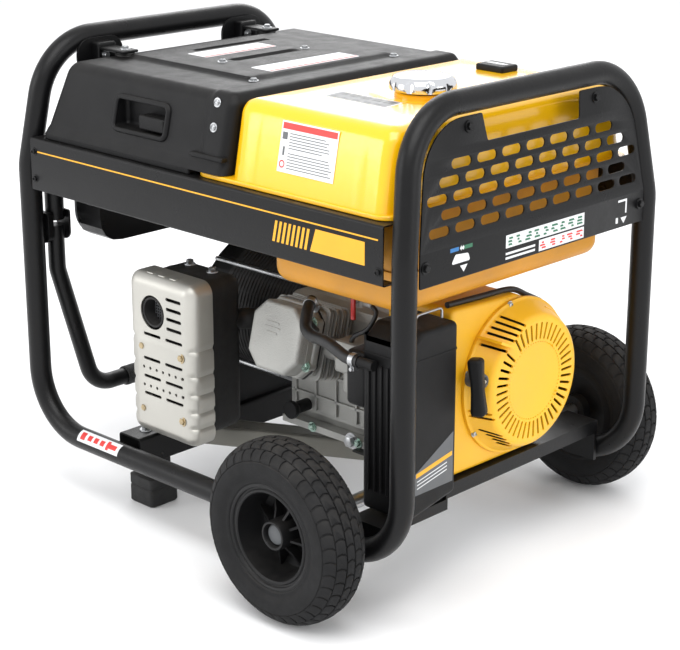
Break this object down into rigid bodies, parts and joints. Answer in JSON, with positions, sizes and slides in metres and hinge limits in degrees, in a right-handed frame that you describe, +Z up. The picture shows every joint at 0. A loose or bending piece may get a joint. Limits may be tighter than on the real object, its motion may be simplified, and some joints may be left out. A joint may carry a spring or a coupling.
{
  "type": "engine driven welder",
  "caption": "Open tube-frame petrol welding generator on two wheels, with a fuel tank over the engine, a covered inverter, a muffler, a recoil starter and a fold-down handle.",
  "frame": {"origin": "on the ground, at the middle of the overall length and width", "axes": "+X along the length towards the recoil starter end, -Y towards the muffler side, +Z up"},
  "size_m": [0.77, 0.708, 0.6909],
  "materials": {
    "black_paint": "black powder coat",
    "steel": "zinc plated",
    "rubber": "moulded black rubber",
    "tyre": "pneumatic tyre",
    "black_plastic": "moulded black plastic",
    "yellow_paint": "gloss yellow enamel",
    "gold_plastic": "satin golden yellow paint",
    "chrome": "chrome plate",
    "cast": "as-cast aluminium",
    "silver": "silver heat paint",
    "grey_plastic": "grey plastic",
    "red_plastic": "red plastic",
    "foam": "black foam",
    "copper": "varnished copper winding",
    "rope": "braided nylon"
  },
  "bodies": {
    "chassis": {"frame_hoop_left": "black_paint", "frame_hoop_right": "black_paint", "bottom_rail_near": "black_paint", "bottom_rail_far": "black_paint", "crossmember_left": "black_paint", "engine_tray": "black_paint", "side_panel_near": "black_paint", "side_panel_far": "black_paint", "slotted_end_plate": "black_paint", "cover_mount_near": "black_paint", "cover_mount_far": "black_paint", "control_box": "black_paint", "handle_bracket_near": "black_paint", "handle_bracket_far": "black_paint", "muffler_body": "black_paint", "engine_channel": "steel", "axle_rod": "steel", "foot_near": "rubber", "foot_far": "rubber", "breather_hose": "rubber", "fuel_gauge": "black_plastic", "top_cover": "black_plastic", "weld_socket_minus": "black_plastic", "alternator_end_cover": "black_plastic", "air_cleaner_case": "black_plastic", "fuel_tank": "yellow_paint", "fan_shroud": "gold_plastic", "recoil_cover": "gold_plastic", "fuel_tap_body": "cast", "crankcase": "cast", "cylinder_block": "cast", "alternator_stator": "cast", "carburettor": "cast", "valve_cover": "silver", "muffler_guard": "silver", "inverter_module": "grey_plastic", "control_panel": "grey_plastic", "weld_socket_plus": "red_plastic"},
    "wheel_near": {"tyre_near": "tyre", "wheel_rim_near": "black_plastic"},
    "wheel_far": {"tyre_far": "tyre", "wheel_rim_far": "black_plastic"},
    "handle": {"handle_tube": "black_paint", "handle_grip": "foam"},
    "starter_pull": {"starter_grip": "black_plastic", "starter_rope": "rope"},
    "starter_reel": {"starter_pulley": "black_plastic"},
    "crank_train": {"crankshaft": "steel", "flywheel": "cast", "alternator_rotor": "copper"},
    "cap_seal": {"cap_gasket": "rubber"},
    "filler_cap": {"fuel_cap": "chrome"},
    "knob": {"current_knob": "black_plastic"},
    "key": {"ignition_key": "steel"},
    "breaker": {"breaker_button": "black_plastic"},
    "lid_lower": {"outlet_lid_lower": "black_plastic"},
    "lid_upper": {"outlet_lid_upper": "black_plastic"},
    "tap_lever": {"fuel_tap_lever": "red_plastic"},
    "choke": {"choke_lever": "grey_plastic"},
    "bail": {"air_cleaner_bail": "steel"}
  },
  "joints": [
    {"name": "wheel_near_spin", "type": "hinge", "parent": "chassis", "child": "wheel_near", "pos_m": [0.23, -0.317, 0.125], "axis": [0, 1, 0], "continuous": true},
    {"name": "wheel_far_spin", "type": "hinge", "parent": "chassis", "child": "wheel_far", "pos_m": [0.23, 0.317, 0.125], "axis": [0, 1, 0], "continuous": true},
    {"name": "handle_fold", "type": "hinge", "parent": "chassis", "child": "handle", "pos_m": [-0.369, 0, 0.388], "axis": [0, 1, 0], "range_deg": [0, 95]},
    {"name": "starter_pull_out", "type": "slide", "parent": "chassis", "child": "starter_pull", "axis": [0.4, -0.9165, 0], "range_m": [0, 0.5], "stiffness_N_per_m": 15, "springref_m": -0.4},
    {"name": "starter_reel_spin", "type": "hinge", "parent": "chassis", "child": "starter_reel", "pos_m": [0.329, 0.04, 0.267], "axis": [1, 0, 0], "range_deg": [0, 580]},
    {"name": "engine_spin", "type": "hinge", "parent": "chassis", "child": "crank_train", "pos_m": [0, 0.04, 0.267], "axis": [1, 0, 0], "continuous": true},
    {"name": "cap_lift", "type": "slide", "parent": "chassis", "child": "cap_seal", "axis": [0, 0, 1], "range_m": [0, 0.06]},
    {"name": "cap_turn", "type": "hinge", "parent": "cap_seal", "child": "filler_cap", "pos_m": [0.205, -0.035, 0.66], "axis": [0, 0, 1], "range_deg": [0, 90]},
    {"name": "current_turn", "type": "hinge", "parent": "chassis", "child": "knob", "pos_m": [-0.36, -0.01, 0.49], "axis": [-1, 0, 0], "range_deg": [-135, 135]},
    {"name": "key_turn", "type": "hinge", "parent": "chassis", "child": "key", "pos_m": [-0.36, -0.13, 0.49], "axis": [-1, 0, 0], "range_deg": [0, 60]},
    {"name": "breaker_pop", "type": "slide", "parent": "chassis", "child": "breaker", "axis": [-1, 0, 0], "range_m": [0, 0.004]},
    {"name": "lid_lower_flip", "type": "hinge", "parent": "chassis", "child": "lid_lower", "pos_m": [-0.3533, 0.12, 0.454], "axis": [0, 1, 0], "range_deg": [0, 100], "stiffness_Nm_per_rad": 0.01, "springref_deg": -28.65},
    {"name": "lid_upper_flip", "type": "hinge", "parent": "chassis", "child": "lid_upper", "pos_m": [-0.3533, 0.12, 0.522], "axis": [0, 1, 0], "range_deg": [0, 100], "stiffness_Nm_per_rad": 0.01, "springref_deg": -28.65},
    {"name": "fuel_tap_turn", "type": "hinge", "parent": "chassis", "child": "tap_lever", "pos_m": [0.182, -0.14, 0.386], "axis": [0, 1, 0], "range_deg": [0, 90]},
    {"name": "choke_turn", "type": "hinge", "parent": "chassis", "child": "choke", "pos_m": [0.212, -0.124, 0.319], "axis": [0, 0, 1], "range_deg": [0, 45]},
    {"name": "bail_swing", "type": "hinge", "parent": "chassis", "child": "bail", "pos_m": [0.322, -0.149, 0.3883], "axis": [0, 1, 0], "range_deg": [0, 80]}
  ],
  "couplings": [
    {"joint": "starter_reel_spin", "follows": "starter_pull_out", "rad_per_m": 20}
  ]
}
